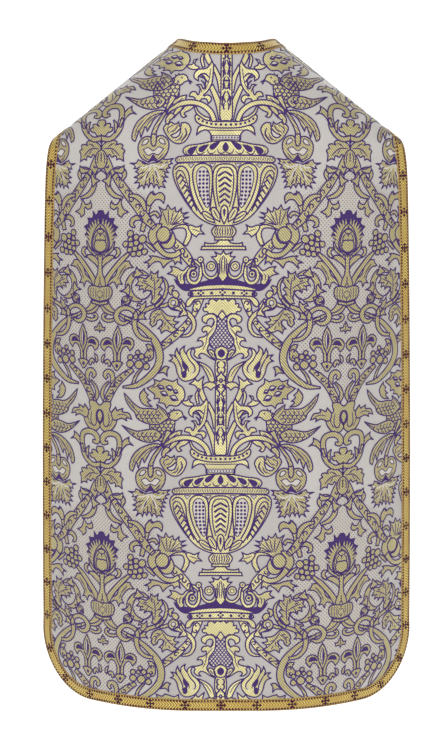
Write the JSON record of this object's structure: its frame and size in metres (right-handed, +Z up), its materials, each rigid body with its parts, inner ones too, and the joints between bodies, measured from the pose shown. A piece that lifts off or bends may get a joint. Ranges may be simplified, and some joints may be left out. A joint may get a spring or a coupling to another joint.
{
  "type": "roman chasuble",
  "caption": "Worn roman chasuble: stiff brocade back and front panels joined at the shoulders, open neck and sides, braid on every edge.",
  "frame": {"origin": "midway between the two sides of the neck opening, level with the cloth that rests on the shoulders", "axes": "+X to the wearer's right, +Y out of the wearer's chest, so that the wide back panel faces -Y, and +Z up"},
  "size_m": [0.6246, 0.254, 1.0776],
  "materials": {
    "brocade": "pale grey ground with woven gold and purple figure",
    "braid": "gold twill braid with purple crosses and edges"
  },
  "bodies": {
    "root": {"back_panel": "brocade", "front_panel": "brocade", "back_edge_braid": "braid", "front_edge_braid": "braid", "neck_braid": "braid"}
  },
  "joints": []
}
